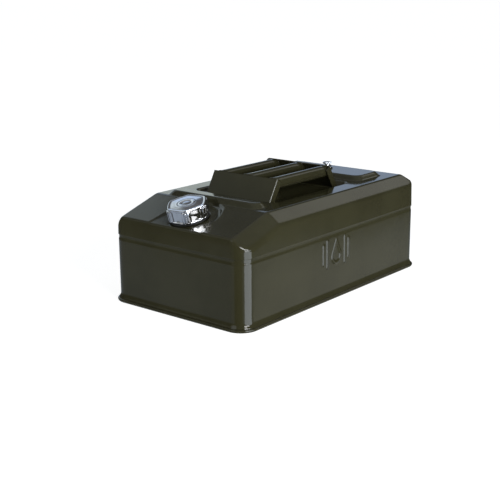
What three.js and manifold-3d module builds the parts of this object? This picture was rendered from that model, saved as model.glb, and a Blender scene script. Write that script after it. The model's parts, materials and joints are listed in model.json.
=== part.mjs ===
// Flat steel fuel can of about forty litres with a three-bar carrying handle.
// Millimetres, +Z up. +X runs along the length towards the vent end, the filler is at -X.
// The origin is on the ground under the middle of the body.
import * as THREE from 'three';
import { mergeVertices } from 'three/addons/utils/BufferGeometryUtils.js';
import Module from 'manifold-3d';

const wasm = await Module();
wasm.setup();

// ---------------------------------------------------------------- driving dimensions
const BODY_LENGTH = 600;
const BODY_WIDTH = 340;
const PLATEAU_Z = 206;
const SEAM_Z = 137;
const CORNER_RADIUS = 31;
const CORNER_STEPS = 6;
const SHEET = 1.2;
const GAP = 0.3;

const LAP_HEIGHT = 12;
const JOGGLE_Z = [127, 130];
const SHELL_INSET = 0.6;
const RIM_HEIGHT = 6;
const RIM_FLARE = 6;
const RIM_INSET = 4;
const FLARE_Z = 14;
const BOTTOM_PANEL_Z = 9;

const CHAMFER_INSET = 26.3;
const CHAMFER_DROP = 24;
const SLOPE_TOP_X = -198;
const SLOPE_DROP = 32;

const PAD_RISE = 10;
const PAD_WALL_RUN = 8;
const PAD_HALF_WIDTH = 118;
const PAD_CORNER_CUT = 10;
const FRONT_PAD_X = [-197, -156];
const REAR_PAD_X = [145, 238];

const RECESS_HALF_LENGTH = 130;
const RECESS_HALF_WIDTH = 106;
const RECESS_DEPTH = 11;
const RECESS_WALL_RUN = 8;

const NECK_X = -255;
const NECK_TILT = 14;
const POCKET_RADIUS = 62;
const POCKET_DEPTH = 5;
const POCKET_WALL_RUN = 3;
const NECK_OUTER_RADIUS = 27;
const NECK_BORE_RADIUS = 24.5;
const NECK_MOUTH = 22;
const FLANGE_RADIUS = 37;
const FLANGE_THICKNESS = 1.2;
const COLLAR_RADIUS = 39;
const CAP_RADIUS = 40.5;
const CAP_FLAT = 37;
const CAP_BASE = 5.5;
const CAP_HEIGHT = 28;
const CAP_WALL = 1.8;
const CAP_PANELS = 6;
const CAP_PANEL_HALF_WIDTH = 13;
const CAP_PANEL_ANGLE = 7.5;

const HANDLE_TOP_Z = 244;
const HANDLE_HALF_WIDTH = 83;
const HANDLE_TOP_X = 90;
const BRACKET_LEAN = 30;
const BRACKET_SHEET = 2;
const BRACKET_FLANGE = 16;
const BAR_RADIUS = 12;
const BAR_WALL = 1.5;
const BAR_SPACING = 67;

const VENT_X = 195;
const VENT_HOLE_RADIUS = 8.3;
const VENT_STEM_RADIUS = 4;
const VENT_HEAD_RADIUS = 10;

const FLOOR_Z = PLATEAU_Z - RECESS_DEPTH;
const PAD_TOP_Z = PLATEAU_Z + PAD_RISE;
const SLOPE_RUN = BODY_LENGTH / 2 + SLOPE_TOP_X;
const SLOPE_ANGLE = Math.atan2(SLOPE_DROP, SLOPE_RUN);
const SLOPE_GRADE = SLOPE_DROP / SLOPE_RUN;
const CHAMFER_GRADE = CHAMFER_DROP / CHAMFER_INSET;
const LEAN = THREE.MathUtils.degToRad(BRACKET_LEAN);
const NECK_ANGLE = THREE.MathUtils.degToRad(NECK_TILT);

// ---------------------------------------------------------------- materials
function paintedSteel() {
  return new THREE.MeshStandardMaterial({ color: 0x3d3d31, roughness: 0.22, metalness: 0.1 });
}

function chrome() {
  return new THREE.MeshStandardMaterial({ color: 0xd4d6d8, roughness: 0.12, metalness: 1 });
}

function rubber() {
  return new THREE.MeshStandardMaterial({ color: 0x141414, roughness: 0.8, metalness: 0 });
}

function zincSteel() {
  return new THREE.MeshStandardMaterial({ color: 0x9a9c98, roughness: 0.45, metalness: 0.9 });
}

// ---------------------------------------------------------------- geometry helpers
function toSolid(geometry, matrix = new THREE.Matrix4()) {
  const bare = geometry.clone().applyMatrix4(matrix);
  bare.deleteAttribute('normal');
  bare.deleteAttribute('uv');
  const merged = mergeVertices(bare, 1e-4);
  return new wasm.Manifold(new wasm.Mesh({
    numProp: 3,
    vertProperties: merged.attributes.position.array,
    triVerts: new Uint32Array(merged.index.array),
  }));
}

function toGeometry(solid) {
  const mesh = solid.getMesh();
  const geometry = new THREE.BufferGeometry();
  geometry.setAttribute('position', new THREE.BufferAttribute(mesh.vertProperties, 3));
  geometry.setIndex(new THREE.BufferAttribute(mesh.triVerts, 1));
  geometry.computeVertexNormals();
  return geometry;
}

function subtractAll(solid, cutters) {
  return cutters.reduce((rest, cutter) => rest.subtract(cutter), solid);
}

// Outline of a rectangle with round corners, counter-clockwise.
function roundedRectangle(halfX, halfY, radius, steps = CORNER_STEPS) {
  const points = [];
  for (let corner = 0; corner < 4; corner++) {
    const signX = corner === 0 || corner === 3 ? 1 : -1;
    const signY = corner < 2 ? 1 : -1;
    for (let i = 0; i <= steps; i++) {
      const angle = (corner + i / steps) * Math.PI / 2;
      const x = signX * (halfX - radius) + radius * Math.cos(angle);
      const y = signY * (halfY - radius) + radius * Math.sin(angle);
      points.push(new THREE.Vector2(x, y));
    }
  }
  return points;
}

// The body's own outline, moved outwards by an offset.
function bodyOutline(offset) {
  return roundedRectangle(BODY_LENGTH / 2 + offset, BODY_WIDTH / 2 + offset, CORNER_RADIUS + offset);
}

// Outline of a rectangle with straight-cut corners, counter-clockwise.
function cutRectangle(x0, x1, halfY, cut) {
  return [
    [x1, -halfY + cut], [x1, halfY - cut], [x1 - cut, halfY], [x0 + cut, halfY],
    [x0, halfY - cut], [x0, -halfY + cut], [x0 + cut, -halfY], [x1 - cut, -halfY],
  ].map(([x, y]) => new THREE.Vector2(x, y));
}

// Solid through a stack of outlines of equal point count, each with its height.
// A closed stack joins its last outline to its first one and has no end faces.
function loft(levels, closed = false) {
  const count = levels[0].outline.length;
  const positions = [];
  for (const level of levels) {
    for (const point of level.outline) positions.push(point.x, point.y, level.z);
  }
  const faces = [];
  const bands = closed ? levels.length : levels.length - 1;
  for (let band = 0; band < bands; band++) {
    const low = band * count;
    const high = ((band + 1) % levels.length) * count;
    for (let i = 0; i < count; i++) {
      const next = (i + 1) % count;
      faces.push(low + i, low + next, high + next, low + i, high + next, high + i);
    }
  }
  if (!closed) {
    const last = (levels.length - 1) * count;
    for (const [a, b, c] of THREE.ShapeUtils.triangulateShape(levels[0].outline, [])) {
      faces.push(a, c, b);
    }
    for (const [a, b, c] of THREE.ShapeUtils.triangulateShape(levels[levels.length - 1].outline, [])) {
      faces.push(last + a, last + b, last + c);
    }
  }
  const geometry = new THREE.BufferGeometry();
  geometry.setAttribute('position', new THREE.Float32BufferAttribute(positions, 3));
  geometry.setIndex(faces);
  geometry.computeVertexNormals();
  return geometry;
}

// Ring that follows the body's outline: its section is a loop of [offset, z] points.
function ringAroundBody(section) {
  return loft(section.map(([offset, z]) => ({ outline: bodyOutline(offset), z })), true);
}

// Pan that fills the body's outline: its section runs from the underside's middle panel
// over the edge to the upper side's middle panel.
function panInsideBody(section) {
  return loft(section.map(([offset, z]) => ({ outline: bodyOutline(offset), z })));
}

// Turned piece: profile of [radius, height] points, spun about +Z.
function turned(profile, segments) {
  const points = profile.map(([radius, height]) => new THREE.Vector2(radius, height));
  const geometry = new THREE.LatheGeometry(points, segments);
  geometry.rotateX(Math.PI / 2);
  return geometry;
}

function ring(innerRadius, outerRadius, low, high, segments = 32) {
  return turned([
    [innerRadius, low], [outerRadius, low], [outerRadius, high], [innerRadius, high], [innerRadius, low],
  ], segments);
}

function disc(radius, low, high, segments = 32) {
  return turned([[0, low], [radius, low], [radius, high], [0, high]], segments);
}

function box(x0, x1, y0, y1, z0, z1) {
  const geometry = new THREE.BoxGeometry(x1 - x0, y1 - y0, z1 - z0);
  geometry.translate((x0 + x1) / 2, (y0 + y1) / 2, (z0 + z1) / 2);
  return geometry;
}

// Everything above the plane z = height + gradeX * (x - x0) + gradeY * (y - y0).
function above(x0, y0, height, gradeX, gradeY) {
  const reach = 900;
  const normal = new THREE.Vector3(-gradeX, -gradeY, 1).normalize();
  const turn = new THREE.Quaternion().setFromUnitVectors(new THREE.Vector3(0, 0, 1), normal);
  const matrix = new THREE.Matrix4().compose(
    new THREE.Vector3(x0, y0, height), turn, new THREE.Vector3(1, 1, 1));
  return toSolid(box(-reach, reach, -reach, reach, 0, reach), matrix);
}

function node(name, geometry, material) {
  const mesh = new THREE.Mesh(geometry, material);
  mesh.name = name;
  return mesh;
}

// ---------------------------------------------------------------- frames on the body
// The filler's frame: on the pocket floor, +Z along the neck, +X up the slope.
const slopeZ = (x) => PLATEAU_Z + SLOPE_GRADE * (x - SLOPE_TOP_X);
const neckAxis = new THREE.Vector3(-Math.sin(NECK_ANGLE), 0, Math.cos(NECK_ANGLE));
const neckOrigin = new THREE.Vector3(NECK_X, 0, slopeZ(NECK_X)).addScaledVector(neckAxis, -POCKET_DEPTH);
const neckMatrix = new THREE.Matrix4().makeRotationY(-NECK_ANGLE).setPosition(neckOrigin);

// ---------------------------------------------------------------- top pan
// The pan's outside, or its inside when everything is moved in by an inset.
function topPanMass(inset) {
  const outline = bodyOutline(-inset);
  const bottom = inset > 0 ? SEAM_Z - 20 : SEAM_Z;
  const block = toSolid(loft([{ outline, z: bottom }, { outline, z: PLATEAU_Z - inset }]));
  const slopeInset = inset / Math.cos(SLOPE_ANGLE);
  const chamferInset = inset * Math.hypot(1, CHAMFER_GRADE);
  const edgeY = BODY_WIDTH / 2 - CHAMFER_INSET;
  const edgeX = BODY_LENGTH / 2 - CHAMFER_INSET;
  const cutters = [
    above(SLOPE_TOP_X, 0, PLATEAU_Z - slopeInset, SLOPE_GRADE, 0),
    above(edgeX, 0, PLATEAU_Z - chamferInset, -CHAMFER_GRADE, 0),
  ];
  for (const side of [1, -1]) {
    cutters.push(above(0, side * edgeY, PLATEAU_Z - chamferInset, 0, -side * CHAMFER_GRADE));
    cutters.push(above(SLOPE_TOP_X, side * edgeY, PLATEAU_Z - chamferInset, SLOPE_GRADE, -side));
  }
  return subtractAll(block, cutters);
}

// A raised pad whose walls lean in towards its top.
function padMass([x0, x1], inset) {
  const cut = PAD_CORNER_CUT;
  const foot = cutRectangle(x0 + inset, x1 - inset, PAD_HALF_WIDTH - inset, cut);
  const run = PAD_WALL_RUN + inset;
  const top = cutRectangle(x0 + run, x1 - run, PAD_HALF_WIDTH - run, cut);
  return toSolid(loft([
    { outline: foot, z: PLATEAU_Z - 15 },
    { outline: foot, z: PLATEAU_Z - inset },
    { outline: top, z: PAD_TOP_Z - inset },
  ]));
}

// The hollow under the handle, and for the pan's inside the larger bulge around it.
function recessHollow(inset) {
  const low = { x: RECESS_HALF_LENGTH - RECESS_WALL_RUN + inset, y: RECESS_HALF_WIDTH - RECESS_WALL_RUN + inset };
  const high = { x: RECESS_HALF_LENGTH + inset + 12, y: RECESS_HALF_WIDTH + inset + 12 };
  const rise = (RECESS_DEPTH / RECESS_WALL_RUN) * 20;
  return toSolid(loft([
    { outline: roundedRectangle(low.x, low.y, 12), z: FLOOR_Z - inset },
    { outline: roundedRectangle(high.x, high.y, 24), z: FLOOR_Z - inset + rise },
  ]));
}

// The pocket around the filler: round at the back, open towards the front wall.
function pocketOutline(radius) {
  const points = [];
  const steps = 16;
  for (let i = 0; i <= steps; i++) {
    const angle = -Math.PI / 2 + Math.PI * i / steps;
    points.push(new THREE.Vector2(radius * Math.cos(angle), radius * Math.sin(angle)));
  }
  points.push(new THREE.Vector2(-80, radius + 12));
  points.push(new THREE.Vector2(-80, -radius - 12));
  return points;
}

function pocketHollow(inset) {
  return toSolid(loft([
    { outline: pocketOutline(POCKET_RADIUS - POCKET_WALL_RUN + inset), z: -inset },
    { outline: pocketOutline(POCKET_RADIUS + inset), z: 2 * POCKET_DEPTH },
    { outline: pocketOutline(POCKET_RADIUS + inset), z: 3 * POCKET_DEPTH },
  ]), neckMatrix);
}

function topPan() {
  const pads = [FRONT_PAD_X, REAR_PAD_X];
  let outside = topPanMass(0);
  let inside = topPanMass(SHEET);
  for (const pad of pads) {
    outside = outside.add(padMass(pad, 0));
    inside = inside.add(padMass(pad, SHEET));
  }
  outside = subtractAll(outside, [recessHollow(0), pocketHollow(0)]);
  inside = subtractAll(inside, [recessHollow(SHEET), pocketHollow(SHEET)]);
  const neckHole = toSolid(disc(NECK_OUTER_RADIUS + GAP, -20, 20), neckMatrix);
  const ventHole = toSolid(disc(VENT_HOLE_RADIUS, PLATEAU_Z - 5, PAD_TOP_Z + 5),
    new THREE.Matrix4().makeTranslation(VENT_X, 0, 0));
  const shell = subtractAll(outside.subtract(inside), [neckHole, ventHole]);
  return node('top_pan', toGeometry(shell), paintedSteel());
}

// ---------------------------------------------------------------- lower body
function bodyShell() {
  const lap = -SHEET - GAP;
  const face = -SHELL_INSET;
  const top = SEAM_Z + LAP_HEIGHT;
  const foot = RIM_HEIGHT + GAP;
  const [joggleLow, joggleHigh] = JOGGLE_Z;
  return node('body_shell', ringAroundBody([
    [lap, top], [lap - SHEET, top], [lap - SHEET, joggleHigh], [face - SHEET, joggleLow],
    [face - SHEET, FLARE_Z], [RIM_FLARE / 2 - SHEET, foot],
    [RIM_FLARE / 2, foot], [face, FLARE_Z], [face, joggleLow], [lap, joggleHigh],
  ]), paintedSteel());
}

function bottomRim() {
  const bevel = 1.5;
  return node('bottom_rim', ringAroundBody([
    [-RIM_INSET, 0], [RIM_FLARE - bevel, 0], [RIM_FLARE, bevel], [RIM_FLARE, RIM_HEIGHT - bevel],
    [RIM_FLARE - bevel, RIM_HEIGHT], [-RIM_INSET, RIM_HEIGHT],
  ]), paintedSteel());
}

function bottomPan() {
  const wall = -RIM_INSET - GAP;
  const step = -14;
  return node('bottom_pan', panInsideBody([
    [step - 6, BOTTOM_PANEL_Z - SHEET], [step, BOTTOM_PANEL_Z - SHEET], [wall - SHEET, 1], [wall, 1],
    [wall, RIM_HEIGHT - 1], [step + SHEET, BOTTOM_PANEL_Z], [step - 6, BOTTOM_PANEL_Z],
  ]), paintedSteel());
}

// ---------------------------------------------------------------- filler
function fillerNeck() {
  const inner = NECK_BORE_RADIUS;
  const outer = NECK_OUTER_RADIUS;
  const foot = -SHEET - GAP;
  return node('filler_neck', turned([
    [inner, foot - 4], [outer + 6, foot - 2], [outer + 6, foot], [outer, foot],
    [outer, NECK_MOUTH - 1], [outer - 1, NECK_MOUTH], [inner, NECK_MOUTH], [inner, foot - 4],
  ], 32), zincSteel());
}

function neckFlange() {
  const plate = ring(NECK_OUTER_RADIUS + GAP, FLANGE_RADIUS, GAP, GAP + FLANGE_THICKNESS);
  return node('neck_flange', plate, paintedSteel());
}

function neckCollar() {
  const low = 2 * GAP + FLANGE_THICKNESS;
  return node('neck_collar', ring(NECK_OUTER_RADIUS + GAP, COLLAR_RADIUS, low, CAP_BASE - 0.6), rubber());
}

// Cap shell: wide flat grip panels between narrow ribs, around a dished top.
function fillerCap() {
  const top = CAP_BASE + CAP_HEIGHT;
  const shell = toSolid(turned([
    [0, CAP_BASE], [CAP_RADIUS, CAP_BASE], [CAP_RADIUS, top - 3], [CAP_RADIUS - 2, top - 0.6],
    [CAP_RADIUS - 4, top], [CAP_RADIUS - 9, top - 2], [0, top - 2],
  ], 48));
  const hollow = toSolid(disc(CAP_FLAT - CAP_WALL, CAP_BASE - 1, top - 4));
  const cutters = [hollow];
  const half = CAP_PANEL_HALF_WIDTH;
  for (let i = 0; i < CAP_PANELS; i++) {
    const angle = THREE.MathUtils.degToRad(CAP_PANEL_ANGLE) + 2 * Math.PI * i / CAP_PANELS;
    const turn = new THREE.Matrix4().makeRotationZ(angle);
    cutters.push(toSolid(box(CAP_FLAT, CAP_RADIUS + 5, -half, half, CAP_BASE + 2.5, top + 5), turn));
  }
  return node('filler_cap', toGeometry(subtractAll(shell, cutters)), chrome());
}

function capThreadRing() {
  const outer = CAP_FLAT - CAP_WALL - GAP;
  return node('cap_thread_ring', ring(NECK_OUTER_RADIUS + 0.6, outer, CAP_BASE + 1, NECK_MOUTH - 2), zincSteel());
}

function capGasket() {
  return node('cap_gasket', ring(18, NECK_OUTER_RADIUS, NECK_MOUTH + GAP, NECK_MOUTH + 2.6), rubber());
}

function capSealPlate() {
  return node('cap_seal_plate', ring(5, 32, NECK_MOUTH + 2.9, NECK_MOUTH + 4.6), zincSteel());
}

function capRivet() {
  const top = CAP_BASE + CAP_HEIGHT;
  const plate = NECK_MOUTH + 2.9;
  return node('cap_rivet', turned([
    [0, plate - 2.3], [8, plate - 2.3], [8, plate - GAP], [4.5, plate - GAP],
    [4.5, top - 4 - GAP], [0, top - 4 - GAP],
  ], 24), zincSteel());
}

function filler() {
  const group = new THREE.Group();
  group.position.copy(neckOrigin);
  group.rotation.y = -NECK_ANGLE;
  group.add(
    fillerNeck(), neckFlange(), neckCollar(),
    fillerCap(), capThreadRing(), capGasket(), capSealPlate(), capRivet(),
  );
  return group;
}

// ---------------------------------------------------------------- handle
// Bracket: a leaning sheet with a return flange on each side and a foot on the recess floor.
// It is drawn for the rear end, where the sheet leans from the foot towards -X.
function bracketSolid() {
  const footX = HANDLE_TOP_X + (HANDLE_TOP_Z - FLOOR_Z) * Math.tan(LEAN);
  const length = (HANDLE_TOP_Z - FLOOR_Z) / Math.cos(LEAN);
  const half = HANDLE_HALF_WIDTH;
  const frame = new THREE.Matrix4().makeRotationY(-LEAN).setPosition(footX, 0, FLOOR_Z);
  const sheet = toSolid(box(-BRACKET_SHEET, 0, -half, half, -10, length), frame);
  let bracket = sheet;
  for (const side of [1, -1]) {
    const inner = side * (half - BRACKET_SHEET);
    const outer = side * half;
    const flange = box(-BRACKET_FLANGE, 0, Math.min(inner, outer), Math.max(inner, outer), -10, length);
    bracket = bracket.add(toSolid(flange, frame));
  }
  const foot = box(footX - 22, footX - 1, -half + 4, half - 4, FLOOR_Z - 5, FLOOR_Z + GAP + BRACKET_SHEET);
  bracket = bracket.add(toSolid(foot));
  return bracket.subtract(toSolid(box(-400, 400, -400, 400, FLOOR_Z - 60, FLOOR_Z + GAP)));
}

function handleBracket(name, turn) {
  const mesh = node(name, toGeometry(bracketSolid()), paintedSteel());
  mesh.rotation.z = turn;
  return mesh;
}

// Bars: straight tubes, mitred against the two leaning sheets.
function handleBar(name, y) {
  const reach = HANDLE_TOP_X + 30;
  const barZ = HANDLE_TOP_Z - BAR_RADIUS;
  const alongX = new THREE.Matrix4().makeRotationY(Math.PI / 2);
  const tube = toSolid(ring(BAR_RADIUS - BAR_WALL, BAR_RADIUS, -reach, reach, 20), alongX);
  const clearance = (BRACKET_SHEET + GAP) / Math.cos(LEAN);
  const faceX = HANDLE_TOP_X + BAR_RADIUS * Math.tan(LEAN) - clearance;
  const cutters = [1, -1].map((side) => {
    const turn = side > 0 ? -LEAN : Math.PI + LEAN;
    const matrix = new THREE.Matrix4().makeRotationY(turn).setPosition(side * faceX, 0, 0);
    return toSolid(box(0, 100, -50, 50, -100, 100), matrix);
  });
  const bar = node(name, toGeometry(subtractAll(tube, cutters)), paintedSteel());
  bar.position.set(0, y, barZ);
  return bar;
}

// Doubler: a strip inside the tank that spreads each bracket's load over the recess floor.
function handleDoubler(name, side) {
  const footX = HANDLE_TOP_X + (HANDLE_TOP_Z - FLOOR_Z) * Math.tan(LEAN);
  const top = FLOOR_Z - SHEET - GAP;
  const strip = box(-26, 8, -HANDLE_HALF_WIDTH, HANDLE_HALF_WIDTH, top - BRACKET_SHEET, top);
  const mesh = node(name, strip, zincSteel());
  mesh.position.x = side * footX;
  mesh.rotation.z = side > 0 ? 0 : Math.PI;
  return mesh;
}

function handle() {
  const group = new THREE.Group();
  group.add(
    handleBracket('handle_front_bracket', Math.PI),
    handleBracket('handle_rear_bracket', 0),
    handleBar('handle_bar_left', BAR_SPACING),
    handleBar('handle_bar_middle', 0),
    handleBar('handle_bar_right', -BAR_SPACING),
    handleDoubler('handle_doubler_front', -1),
    handleDoubler('handle_doubler_rear', 1),
  );
  return group;
}

// ---------------------------------------------------------------- vent
function vent() {
  const bossTop = GAP + 3;
  const washerTop = bossTop + GAP + 1.5;
  const headLow = washerTop + GAP;
  const headHigh = headLow + 8;
  const boss = ring(VENT_STEM_RADIUS + 0.4, VENT_HOLE_RADIUS - GAP, -12, 0.8, 24);
  const bossFlange = ring(VENT_STEM_RADIUS + 0.4, 12, GAP, bossTop, 24);
  const bossSolid = toSolid(boss).add(toSolid(bossFlange));
  const washer = ring(VENT_STEM_RADIUS + 0.3, 10, bossTop + GAP, washerTop, 24);
  const screw = turned([
    [0, -14], [VENT_STEM_RADIUS, -14], [VENT_STEM_RADIUS, headLow], [VENT_HEAD_RADIUS, headLow],
    [VENT_HEAD_RADIUS, headHigh - 1.5], [VENT_HEAD_RADIUS - 1.5, headHigh], [0, headHigh],
  ], 24);
  const group = new THREE.Group();
  group.position.set(VENT_X, 0, PAD_TOP_Z);
  group.add(
    node('vent_boss', toGeometry(bossSolid), chrome()),
    node('vent_washer', washer, rubber()),
    node('vent_screw', screw, chrome()),
  );
  return group;
}

// ---------------------------------------------------------------- assembly
const group = new THREE.Group();
group.add(bodyShell(), bottomRim(), bottomPan(), topPan(), filler(), handle(), vent());

export default group;
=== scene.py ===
import json
import math

import bpy
import numpy as np
from mathutils import Matrix, Vector


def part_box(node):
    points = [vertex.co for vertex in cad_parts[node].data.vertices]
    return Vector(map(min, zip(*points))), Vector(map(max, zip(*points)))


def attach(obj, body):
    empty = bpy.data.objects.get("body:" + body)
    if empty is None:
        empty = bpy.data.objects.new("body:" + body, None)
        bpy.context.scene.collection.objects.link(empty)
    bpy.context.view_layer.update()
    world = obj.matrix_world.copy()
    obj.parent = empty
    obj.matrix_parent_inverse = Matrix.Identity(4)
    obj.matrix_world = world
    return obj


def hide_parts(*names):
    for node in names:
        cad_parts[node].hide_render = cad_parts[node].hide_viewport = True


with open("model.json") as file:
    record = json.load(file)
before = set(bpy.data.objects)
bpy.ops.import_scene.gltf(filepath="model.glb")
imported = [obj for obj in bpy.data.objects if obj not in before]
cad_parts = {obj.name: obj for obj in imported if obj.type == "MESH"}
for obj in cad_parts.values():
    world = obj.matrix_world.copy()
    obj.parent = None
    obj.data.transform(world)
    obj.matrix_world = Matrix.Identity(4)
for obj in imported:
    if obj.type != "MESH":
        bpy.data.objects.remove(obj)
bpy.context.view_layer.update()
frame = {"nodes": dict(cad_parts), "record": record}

MM = 0.001

# ---------------------------------------------------------------- camera
CAMERA_PLACE = (-1.60465, -1.27538, 0.62236)
CAMERA_YAW, CAMERA_PITCH, CAMERA_ROLL = (math.radians(v) for v in (39.83, 15.14, -0.44))
CAMERA_LENS = 72.04


def make_camera():
    forward = Vector((
        math.cos(CAMERA_YAW) * math.cos(CAMERA_PITCH),
        math.sin(CAMERA_YAW) * math.cos(CAMERA_PITCH),
        -math.sin(CAMERA_PITCH),
    ))
    level_right = Vector((math.sin(CAMERA_YAW), -math.cos(CAMERA_YAW), 0.0))
    level_up = level_right.cross(forward)
    c, s = math.cos(CAMERA_ROLL), math.sin(CAMERA_ROLL)
    right = c * level_right + s * level_up
    up = c * level_up - s * level_right
    data = bpy.data.cameras.new("camera")
    data.sensor_width = 36.0
    data.lens = CAMERA_LENS
    data.clip_end = 50.0
    camera = bpy.data.objects.new("camera", data)
    rows = [[right[i], up[i], -forward[i], CAMERA_PLACE[i]] for i in range(3)]
    camera.matrix_world = Matrix(rows + [[0, 0, 0, 1]])
    bpy.context.scene.collection.objects.link(camera)
    bpy.context.scene.camera = camera


make_camera()

# ---------------------------------------------------------------- sizes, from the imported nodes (mm)
pan_low, pan_high = (np.array(v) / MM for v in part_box("top_pan"))
rim_high = np.array(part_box("bottom_rim")[1]) / MM
bracket_high = np.array(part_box("handle_rear_bracket")[1]) / MM
joints = {joint["name"]: joint for joint in frame["record"]["behaviour"]["joints"]}

HALF_X, HALF_Y = pan_high[0], pan_high[1]
SEAM_Z = pan_low[2]
PAD_Z = pan_high[2]
PAD_RISE = 10.0
PLATEAU_Z = PAD_Z - PAD_RISE
CORNER = 31.0
SHEET = 1.2
GAP = 0.3

SLOPE_TOP_X = -198.0
SLOPE_GRADE = 32.0 / 102.0
CHAMFER_INSET = 26.3
CHAMFER_GRADE = 24.0 / 26.3
EDGE_ROUND = 5.0
SKIRT_LEAN = 0.026
PAD_HALF_Y = 118.0
PAD_LEAN = 0.014
FRONT_PAD = (-197.0, -156.0)
REAR_PAD = (145.0, 238.0)
RECESS_HALF = (130.0, 106.0)
RECESS_ROUND, RECESS_DEPTH = 18.0, 11.0
FLOOR_Z = PLATEAU_Z - RECESS_DEPTH

neck = joints["cap_turn"]
NECK_ORIGIN = Vector(neck["pos_m"]) / MM
NECK_AXIS = Vector(neck["axis"]).normalized()
NECK_TILT = math.atan2(-NECK_AXIS.x, NECK_AXIS.z)
NECK_GRADE = math.tan(NECK_TILT)
NECK_HOLE = 27.3
POCKET_RADIUS = 61.0
# outside this radius the pocket's floor is a little higher than the seat of the neck
POCKET_SEAT, POCKET_RISE = 37.4, 1.5
VENT_X = joints["vent_turn"]["pos_m"][0] / MM
VENT_HOLE = 8.3


# ---------------------------------------------------------------- numbers
def smooth_min(a, b, reach):
    h = np.maximum(reach - np.abs(a - b), 0.0) / reach
    return np.minimum(a, b) - h * h * reach / 4


def smooth_max(a, b, reach):
    return -smooth_min(-a, -b, reach)


def ease(t):
    t = np.clip(t, 0.0, 1.0)
    return t * t * (3 - 2 * t)


def spaced(low, high, zones, fine, coarse):
    """Positions from low to high, fine inside the zones and growing to coarse away from them."""
    places = [low]
    while places[-1] < high:
        x = places[-1]
        away = min(max(a - x, x - b, 0.0) for a, b in zones)
        places.append(x + min(coarse, fine + away * 0.35))
    places = np.array(places)
    return low + (places - low) * (high - low) / (places[-1] - low)


# ---------------------------------------------------------------- meshes
def finish_mesh(name, body, points, faces, material, sharp=None, replaces=()):
    mesh = bpy.data.meshes.new(name)
    mesh.from_pydata([tuple(p * MM for p in point) for point in points], [], faces)
    mesh.validate()
    mesh.polygons.foreach_set("use_smooth", [True] * len(mesh.polygons))
    if sharp:
        mesh.set_sharp_from_angle(angle=math.radians(sharp))
    mesh.update()
    piece = bpy.data.objects.new(name, mesh)
    bpy.context.scene.collection.objects.link(piece)
    mesh.materials.append(material)
    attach(piece, body)
    if replaces:
        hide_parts(*replaces)
    return piece


class Bands:
    """Columns around the body's outline. Each column is a point on the inner rectangle and
    the outward direction there, so that a ring at any offset from the outline is one product."""

    def __init__(self, xs, ys, arc_steps=10):
        self.xs, self.ys = xs, ys
        nx, ny = len(xs), len(ys)
        base, out, grid = [], [], []
        runs = [
            ([(nx - 1, j) for j in range(ny)], 0.0),
            ([(i, ny - 1) for i in range(nx - 1, -1, -1)], 90.0),
            ([(0, j) for j in range(ny - 1, -1, -1)], 180.0),
            ([(i, 0) for i in range(nx)], 270.0),
        ]
        for cells, angle in runs:
            for i, j in cells:
                self._add(base, out, grid, i, j, angle)
            i, j = cells[-1]
            for k in range(1, arc_steps):
                self._add(base, out, grid, i, j, angle + 90.0 * k / arc_steps)
        self.base, self.out, self.grid = np.array(base), np.array(out), grid
        self.count = len(grid)

    def _add(self, base, out, grid, i, j, angle):
        base.append((self.xs[i], self.ys[j]))
        out.append((math.cos(math.radians(angle)), math.sin(math.radians(angle))))
        grid.append((i, j))

    def ring(self, offset):
        """The points of the outline moved outwards by an offset, one number or one per column."""
        reach = CORNER + np.broadcast_to(offset, (self.count,))
        return self.base + self.out * reach[:, None]


def strip(low_row, high_row):
    """Quads between two closed rows of vertex numbers, dropping doubled corners."""
    faces = []
    count = len(low_row)
    for i in range(count):
        j = (i + 1) % count
        face = []
        for v in (low_row[i], low_row[j], high_row[j], high_row[i]):
            if v not in face:
                face.append(v)
        if len(face) > 2:
            faces.append(face)
    return faces


def skin(rows, closed=False, down=False):
    """Quads from each row to the next, and back to the first when closed. Set down when the rows run down."""
    faces = []
    for row, after in zip(rows, rows[1:] + rows[:1] if closed else rows[1:]):
        faces.extend(strip(after, row) if down else strip(row, after))
    return faces


def add_row(points, row):
    """Adds a row of points to the list and returns their numbers."""
    first = len(points)
    points.extend(row)
    return list(range(first, len(points)))


def add_turn(points, radii, angles, z):
    """Adds a row around the Z axis, or one point where the radius is nothing, and returns its numbers."""
    if np.max(radii) < 1e-6:
        return add_row(points, [[0.0, 0.0, z]]) * len(angles)
    ring = np.column_stack([radii * np.cos(angles), radii * np.sin(angles), np.full(len(angles), z)])
    return add_row(points, ring.tolist())


def band_rows(bands, section):
    """A section of (offset, z) points carried around the body: the points, and the numbers in each row."""
    points = []
    rows = [add_row(points, [[x, y, z] for x, y in bands.ring(offset)]) for offset, z in section]
    return points, rows


# ---------------------------------------------------------------- top pan
def pad_height(x, y, span):
    """A raised pad between two places in x. The front one leans down towards the rear."""
    run = np.minimum(x - span[0], span[1] - x)
    across = PAD_HALF_Y - np.abs(y)
    corner = (smooth_min(x - span[0], span[1] - x, 10.0) + across - 9.0) / 2
    inset = smooth_min(smooth_min(run, across, 2.0), corner, 5.0)
    crown = PAD_RISE - PAD_LEAN * (x - span[0]) * (span[1] < 0)
    return PLATEAU_Z + smooth_min(crown, 1.25 * inset, 2.4)


def recess_height(x, y):
    """The handle's recess: a flat floor inside a rectangle with round corners."""
    qx = np.abs(x) - (RECESS_HALF[0] - RECESS_ROUND)
    qy = np.abs(y) - (RECESS_HALF[1] - RECESS_ROUND)
    corner, inside = np.hypot(np.maximum(qx, 0), np.maximum(qy, 0)), np.minimum(np.maximum(qx, qy), 0)
    outside = corner + inside - RECESS_ROUND
    return smooth_max(np.full_like(x, FLOOR_Z), PLATEAU_Z + 1.375 * outside, 4.0)


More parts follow.
